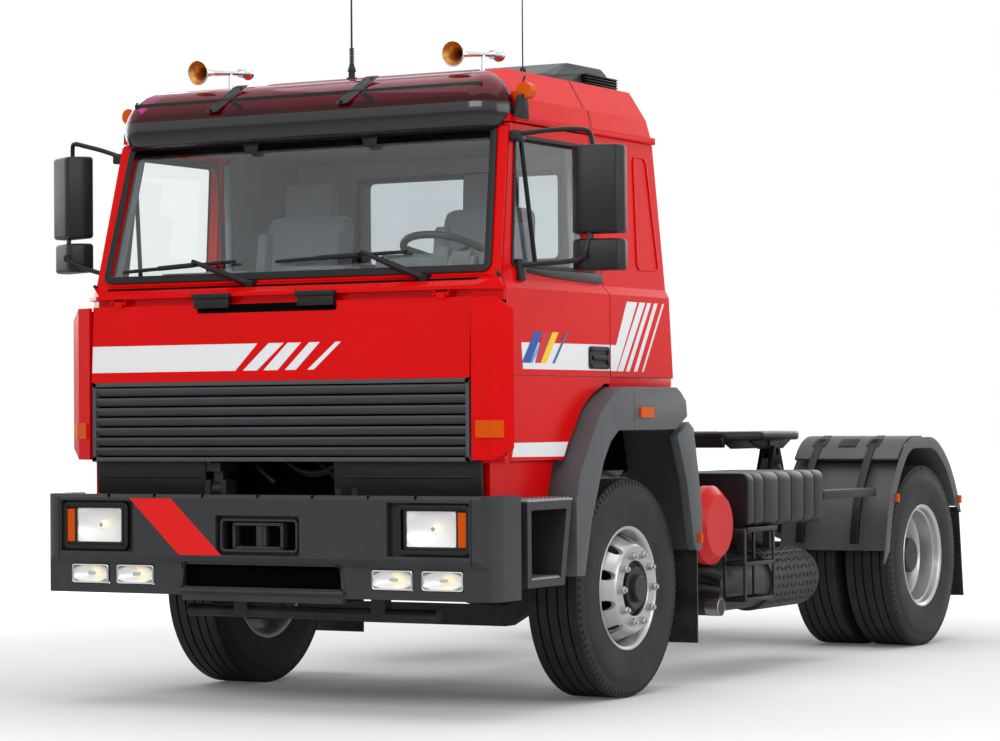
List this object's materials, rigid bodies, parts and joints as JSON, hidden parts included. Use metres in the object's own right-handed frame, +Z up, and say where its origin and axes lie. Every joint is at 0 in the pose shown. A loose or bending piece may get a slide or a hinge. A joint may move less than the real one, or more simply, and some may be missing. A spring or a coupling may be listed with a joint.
{
  "type": "semi truck tractor unit",
  "caption": "Two-axle cab-over tractor unit with a tilting sleeper cab, opening doors, front service hatch, steered front wheels, twin rear wheels and a tipping fifth wheel.",
  "frame": {"origin": "on the ground, in the middle of the overall length and width", "axes": "+X to the truck's left, +Y to its rear, +Z up"},
  "size_m": [3.116, 5.9, 4.135],
  "materials": {
    "frame_paint": "satin dark chassis paint",
    "bumper_grey": "satin dark grey paint",
    "lamp_glass": "clear ribbed lens",
    "amber_lens": "amber lens",
    "red_lens": "red lens",
    "engine_iron": "painted castings",
    "radiator_black": "black finned core",
    "forged_steel": "painted forging",
    "spring_steel": "painted leaves",
    "arch_plastic": "textured plastic",
    "flap_rubber": "moulded rubber sheet",
    "tank_metal": "dark pressed tank",
    "red_paint": "gloss body paint",
    "aluminised_steel": "heat-stained steel",
    "step_metal": "chequered tread",
    "plate_steel": "greased steel",
    "tyre": "tread and sidewall",
    "rim_silver": "silver wheel paint",
    "cab_window": "lightly tinted glass",
    "visor_acrylic": "smoked acrylic",
    "fairing_black": "black moulding",
    "horn_brass": "polished trumpet",
    "black_rod": "black",
    "mirror_black": "black housing",
    "dash_grey": "textured dashboard",
    "seat_fabric": "woven cover",
    "grille_black": "black grille"
  },
  "bodies": {
    "chassis": {"ladder_frame": "frame_paint", "front_bumper": "bumper_grey", "headlamps": "lamp_glass", "marker_lamps": "amber_lens", "tail_lamps": "red_lens", "engine_block": "engine_iron", "radiator": "radiator_black", "front_axle_beam": "forged_steel", "rear_axle_housing": "forged_steel", "leaf_springs": "spring_steel", "propeller_shaft": "forged_steel", "arch_tails": "arch_plastic", "rear_fenders": "arch_plastic", "mud_flaps": "flap_rubber", "fuel_tanks": "tank_metal", "air_cleaner": "red_paint", "exhaust_silencer": "aluminised_steel", "side_step": "step_metal", "fifth_wheel_base": "plate_steel"},
    "knuckle_fl": {"knuckle_left": "forged_steel"},
    "knuckle_fr": {"knuckle_right": "forged_steel"},
    "wheel_fl": {"tyre_front_left": "tyre", "rim_front_left": "rim_silver"},
    "wheel_fr": {"tyre_front_right": "tyre", "rim_front_right": "rim_silver"},
    "wheel_rl": {"tyres_rear_left": "tyre", "rims_rear_left": "rim_silver"},
    "wheel_rr": {"tyres_rear_right": "tyre", "rims_rear_right": "rim_silver"},
    "cab": {"cab_shell": "red_paint", "cab_roof": "red_paint", "cab_floor": "frame_paint", "cab_glass": "cab_window", "corner_panels": "red_paint", "cab_arches": "arch_plastic", "cab_steps": "bumper_grey", "dashboard": "dash_grey", "seats": "seat_fabric", "sun_visor": "visor_acrylic", "roof_fairing": "fairing_black", "air_horns": "horn_brass", "antennas": "black_rod", "wipers": "black_rod", "cab_lamps": "amber_lens"},
    "left_door": {"door_left": "red_paint", "door_glass_left": "cab_window", "mirror_left": "mirror_black"},
    "right_door": {"door_right": "red_paint", "door_glass_right": "cab_window", "mirror_right": "mirror_black"},
    "hatch": {"front_panel": "red_paint", "grille": "grille_black"},
    "coupling": {"fifth_wheel_plate": "plate_steel"}
  },
  "joints": [
    {"name": "cab_tilt", "type": "hinge", "parent": "chassis", "child": "cab", "pos_m": [0, -2.71, 1.03], "axis": [1, 0, 0], "range_deg": [0, 60]},
    {"name": "left_door_hinge", "type": "hinge", "parent": "cab", "child": "left_door", "pos_m": [1.146, -2.64, 1.8], "axis": [0, 0, -1], "range_deg": [0, 70]},
    {"name": "right_door_hinge", "type": "hinge", "parent": "cab", "child": "right_door", "pos_m": [-1.146, -2.64, 1.8], "axis": [0, 0, 1], "range_deg": [0, 70]},
    {"name": "front_hatch", "type": "hinge", "parent": "cab", "child": "hatch", "pos_m": [0, -2.787, 1.92], "axis": [-1, 0, 0], "range_deg": [0, 90]},
    {"name": "steer_left", "type": "hinge", "parent": "chassis", "child": "knuckle_fl", "pos_m": [0.905, -1.49, 0.53], "axis": [0, 0, 1], "range_deg": [-38, 38]},
    {"name": "steer_right", "type": "hinge", "parent": "chassis", "child": "knuckle_fr", "pos_m": [-0.905, -1.49, 0.53], "axis": [0, 0, 1], "range_deg": [-38, 38]},
    {"name": "spin_front_left", "type": "hinge", "parent": "knuckle_fl", "child": "wheel_fl", "pos_m": [1.04, -1.49, 0.53], "axis": [1, 0, 0], "continuous": true},
    {"name": "spin_front_right", "type": "hinge", "parent": "knuckle_fr", "child": "wheel_fr", "pos_m": [-1.04, -1.49, 0.53], "axis": [1, 0, 0], "continuous": true},
    {"name": "spin_rear_left", "type": "hinge", "parent": "chassis", "child": "wheel_rl", "pos_m": [0.925, 2.23, 0.53], "axis": [1, 0, 0], "continuous": true},
    {"name": "spin_rear_right", "type": "hinge", "parent": "chassis", "child": "wheel_rr", "pos_m": [-0.925, 2.23, 0.53], "axis": [1, 0, 0], "continuous": true},
    {"name": "fifth_wheel_pitch", "type": "hinge", "parent": "chassis", "child": "coupling", "pos_m": [0, 1.915, 1.145], "axis": [1, 0, 0], "range_deg": [-12, 15]}
  ],
  "couplings": [
    {"joint": "steer_right", "follows": "steer_left", "ratio": 1}
  ]
}
